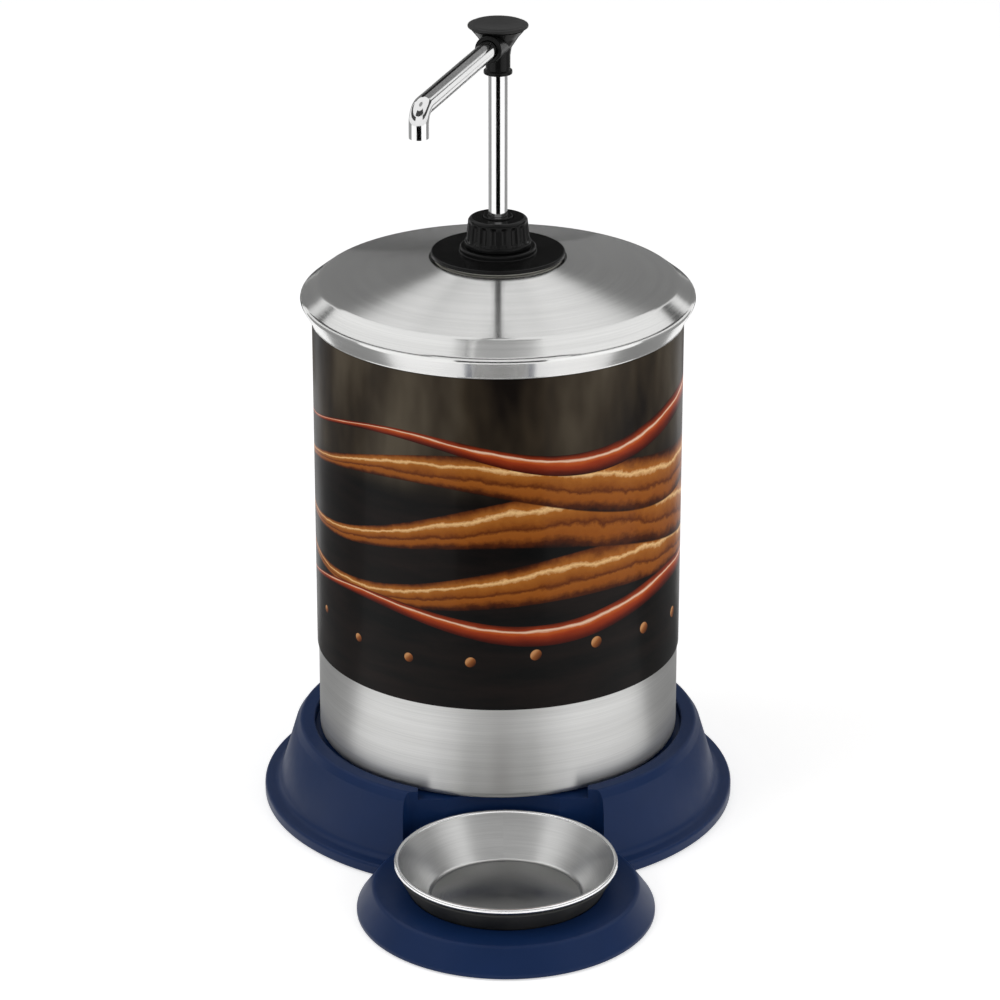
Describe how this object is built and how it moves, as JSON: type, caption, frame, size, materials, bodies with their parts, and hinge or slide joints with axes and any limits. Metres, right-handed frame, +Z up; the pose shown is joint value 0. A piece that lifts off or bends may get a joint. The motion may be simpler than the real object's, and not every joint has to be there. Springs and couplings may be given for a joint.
{
  "type": "syrup dispenser",
  "caption": "Countertop syrup dispenser: lift-out steel jar in a printed sleeve, lift-off lid with a spring-return pump and swivel spout, on a moulded base with a drip bowl.",
  "frame": {"origin": "on the jar's axis, on the surface that the feet stand on, at the middle of the centre foot's lower face", "axes": "+Z up along the jar's axis; -Y towards the drip bowl, which is the front; +X to the right of someone facing the front"},
  "size_m": [0.2372, 0.3261, 0.4019],
  "materials": {
    "base_plastic": "satin moulded navy plastic",
    "rubber": "matt black rubber",
    "brushed_steel": "satin steel brushed round the axis",
    "polished_steel": "polished steel",
    "print": "glossy printed film",
    "black_plastic": "semi-gloss moulded black plastic",
    "seal": "translucent white silicone",
    "pump_plastic": "satin natural white plastic"
  },
  "bodies": {
    "base": {"base_shell": "base_plastic", "foot_centre": "rubber", "foot_back_right": "rubber", "foot_back_left": "rubber", "foot_front_left": "rubber", "foot_front_right": "rubber", "foot_lobe_left": "rubber", "foot_lobe_right": "rubber"},
    "bowl": {"drip_bowl": "brushed_steel", "bowl_skirt": "rubber"},
    "canister": {"jar": "brushed_steel", "jar_sleeve": "print"},
    "cover": {"lid": "brushed_steel", "lid_seal": "seal", "flange_gasket": "seal", "pump_flange": "black_plastic", "lock_nut": "black_plastic", "pump_cylinder": "pump_plastic", "return_spring": "polished_steel", "inlet_valve": "pump_plastic", "ball_cage": "pump_plastic", "dip_tube": "pump_plastic"},
    "bush": {"guide_bush": "black_plastic", "stem_wiper": "rubber"},
    "collar": {"locking_collar": "black_plastic"},
    "plunger": {"piston": "pump_plastic", "piston_seal": "rubber", "stem_tube": "polished_steel"},
    "outlet": {"discharge_head": "black_plastic", "push_knob": "black_plastic", "spout_tube": "polished_steel", "spout_seal": "rubber"},
    "upper_valve": {"discharge_ball": "polished_steel"},
    "lower_valve": {"inlet_ball": "polished_steel"}
  },
  "joints": [
    {"name": "bowl_lift", "type": "slide", "parent": "base", "child": "bowl", "axis": [0, -0.682, 0.7314], "range_m": [0, 0.06]},
    {"name": "jar_lift", "type": "slide", "parent": "base", "child": "canister", "axis": [0, 0, 1], "range_m": [0, 0.06]},
    {"name": "lid_lift", "type": "slide", "parent": "canister", "child": "cover", "axis": [0, 0, 1], "range_m": [0, 0.24]},
    {"name": "collar_rise", "type": "slide", "parent": "cover", "child": "bush", "axis": [0, 0, 1], "range_m": [0, 0.0045]},
    {"name": "collar_turn", "type": "hinge", "parent": "bush", "child": "collar", "pos_m": [0, 0, 0.297], "axis": [0, 0, 1], "range_deg": [0, 540]},
    {"name": "plunger_press", "type": "slide", "parent": "cover", "child": "plunger", "axis": [0, 0, -1], "range_m": [0, 0.062], "stiffness_N_per_m": 150, "springref_m": -0.055, "deforming": ["return_spring"]},
    {"name": "spout_swivel", "type": "hinge", "parent": "plunger", "child": "outlet", "pos_m": [0, 0, 0.3755], "axis": [0, 0, 1], "continuous": true},
    {"name": "upper_ball_lift", "type": "slide", "parent": "plunger", "child": "upper_valve", "axis": [0, 0, 1], "range_m": [0, 0.0012]},
    {"name": "lower_ball_lift", "type": "slide", "parent": "cover", "child": "lower_valve", "axis": [0, 0, 1], "range_m": [0, 0.002]}
  ],
  "couplings": [
    {"joint": "collar_rise", "follows": "collar_turn", "m_per_rad": 0.00047746}
  ]
}
